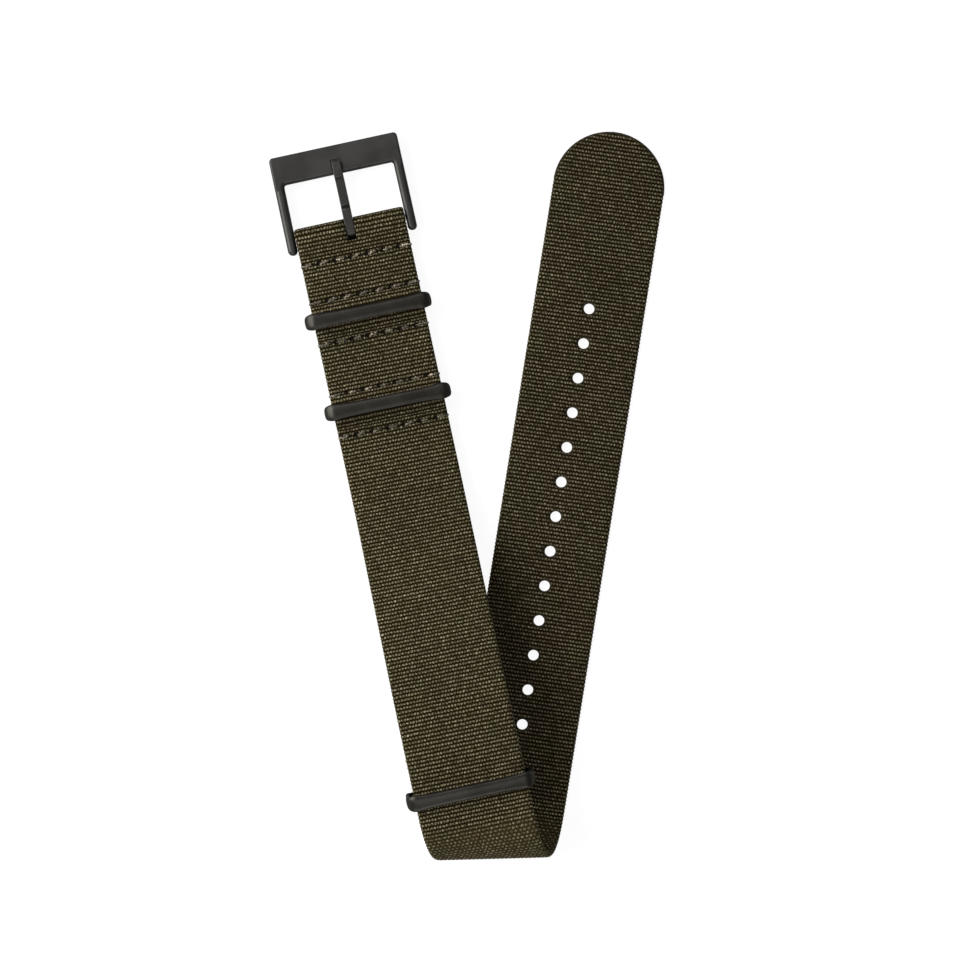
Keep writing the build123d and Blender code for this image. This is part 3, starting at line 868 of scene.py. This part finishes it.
def softened(name, node, body, look, width):
    """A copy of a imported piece, merged, with its edges rounded off."""
    source = frame["nodes"][node]
    piece = source.copy()
    piece.data = source.data.copy()
    piece.name = piece.data.name = name
    piece.parent = None
    bpy.context.scene.collection.objects.link(piece)
    piece.hide_render = False
    only(piece)
    bpy.ops.object.mode_set(mode="EDIT")
    bpy.ops.mesh.select_all(action="SELECT")
    bpy.ops.mesh.remove_doubles(threshold=MERGE)
    bpy.ops.mesh.tris_convert_to_quads()
    bpy.ops.mesh.dissolve_limited(angle_limit=FLAT_ANGLE)
    bpy.ops.mesh.normals_make_consistent(inside=False)
    bpy.ops.object.mode_set(mode="OBJECT")
    bevel = piece.modifiers.new("soft_edges", "BEVEL")
    bevel.width, bevel.segments, bevel.limit_method = width, 3, "ANGLE"
    bevel.angle_limit = EDGE_ANGLE
    bevel.use_clamp_overlap = True
    bpy.ops.object.modifier_apply(modifier="soft_edges")
    bpy.ops.object.shade_smooth()
    weigh = piece.modifiers.new("flat_faces", "WEIGHTED_NORMAL")
    weigh.weight, weigh.keep_sharp = 100, True
    bpy.ops.object.modifier_apply(modifier="flat_faces")
    piece.data.materials.clear()
    piece.data.materials.append(look)
    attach(piece, body)
    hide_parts(node)


softened("frame_soft", "buckle_frame", "buckle", steel, FRAME_SOFT)
softened("tongue_soft", "buckle_tongue", "tongue", steel, TONGUE_SOFT)
for node in ("spring_bar_tube", "spring_bar_plunger_left", "spring_bar_plunger_right"):
    frame["nodes"][node].data.materials.clear()
    frame["nodes"][node].data.materials.append(bar_steel)


# Studio; places and sizes are in metres, powers in watts

LAMPS = {"key_left": ((-0.58, 0.16, 0.44), (0, 0, 0), (0.75, 0.8), 15.0),
         "key_high": ((-0.39, 0.10, 0.61), (0, 0, 0), (0.5, 0.22), 1.2),
         "fill_top": ((0.15, 0.50, 0.75), (0, 0.02, 0), (0.8, 0.3), 2.2),
         "fill_low": ((0.0, -0.85, 0.38), (0, 0, 0), (0.9, 0.35), 5.0),
         "fill_front": ((0.0, -0.33, 0.73), (0, -0.02, 0), (0.6, 0.15), 1.4)}
SKY_LIGHT = 0.26
TABLE_WHITE, TABLE_SEEN, TABLE_MIRRORED = 0.86, 0.92, 0.22
TABLE_SIZE, TABLE_Z = 6.0, -0.00002
CAMERA_HEIGHT, VIEW_WIDE, SENSOR_MM = 0.700, 0.18935, 36.0
CAMERA_X, CAMERA_Y = -4.019, 64.208  # from the bend, in millimetres
CAMERA_TURN = math.radians(-1.565)


def table():
    """A white table that looks evenly lit to the camera and still takes soft shadows."""
    deselect()
    bpy.ops.mesh.primitive_plane_add(size=TABLE_SIZE, location=(0, 0, TABLE_Z))
    ground = bpy.context.object
    ground.name = "table_top"
    look = Look("white_table")
    seen = look.node("ShaderNodeLightPath", out="Is Camera Ray")
    gloss = look.node("ShaderNodeLightPath", out="Is Glossy Ray")
    white = look.node("ShaderNodeEmission", None, {"Color": (1, 1, 1, 1), "Strength": 1.0})
    paper = look.node("ShaderNodeBsdfDiffuse", None, {"Color": (*[TABLE_WHITE] * 3, 1)})
    share = seen.most(gloss * TABLE_MIRRORED) * TABLE_SEEN
    look.end(look.node("ShaderNodeMixShader", None, {0: share, 1: paper, 2: white}))
    ground.data.materials.append(look.material)


def lamp(name, place, aim, size, power):
    light = bpy.data.lights.new(name, "AREA")
    light.shape, light.size, light.size_y = "RECTANGLE", size[0], size[1]
    light.energy = power
    holder = bpy.data.objects.new(name, light)
    bpy.context.scene.collection.objects.link(holder)
    holder.location = place
    holder.rotation_euler = (Vector(aim) - Vector(place)).to_track_quat("-Z", "Y").to_euler()


def studio():
    """A white world that lights the strap less than it shows, and the lamps."""
    world = bpy.data.worlds.new("studio")
    bpy.context.scene.world = world
    world.use_nodes = True
    tree = world.node_tree
    tree.nodes.clear()
    back = tree.nodes.new("ShaderNodeBackground")
    back.inputs["Color"].default_value = (1, 1, 1, 1)
    path = tree.nodes.new("ShaderNodeLightPath")
    strength = tree.nodes.new("ShaderNodeMapRange")
    strength.inputs["To Min"].default_value = SKY_LIGHT
    strength.inputs["To Max"].default_value = 1.0
    tree.links.new(path.outputs["Is Camera Ray"], strength.inputs["Value"])
    tree.links.new(strength.outputs[0], back.inputs["Strength"])
    last = tree.nodes.new("ShaderNodeOutputWorld")
    tree.links.new(back.outputs[0], last.inputs["Surface"])
    for name, settings in LAMPS.items():
        lamp(name, *settings)
    bpy.context.scene.view_settings.view_transform = "Standard"


def camera():
    view = bpy.data.cameras.new("overhead")
    view.sensor_width, view.sensor_height = SENSOR_MM, SENSOR_MM
    view.sensor_fit = "HORIZONTAL"
    view.lens = SENSOR_MM * CAMERA_HEIGHT / VIEW_WIDE
    view.clip_start, view.clip_end = 0.01, 10.0
    holder = bpy.data.objects.new("overhead", view)
    bpy.context.scene.collection.objects.link(holder)
    holder.location = ((BEND_X + CAMERA_X) * MM, (BEND_Y + CAMERA_Y) * MM, CAMERA_HEIGHT)
    holder.rotation_euler = (0, 0, CAMERA_TURN)
    bpy.context.scene.camera = holder


table()
studio()
camera()
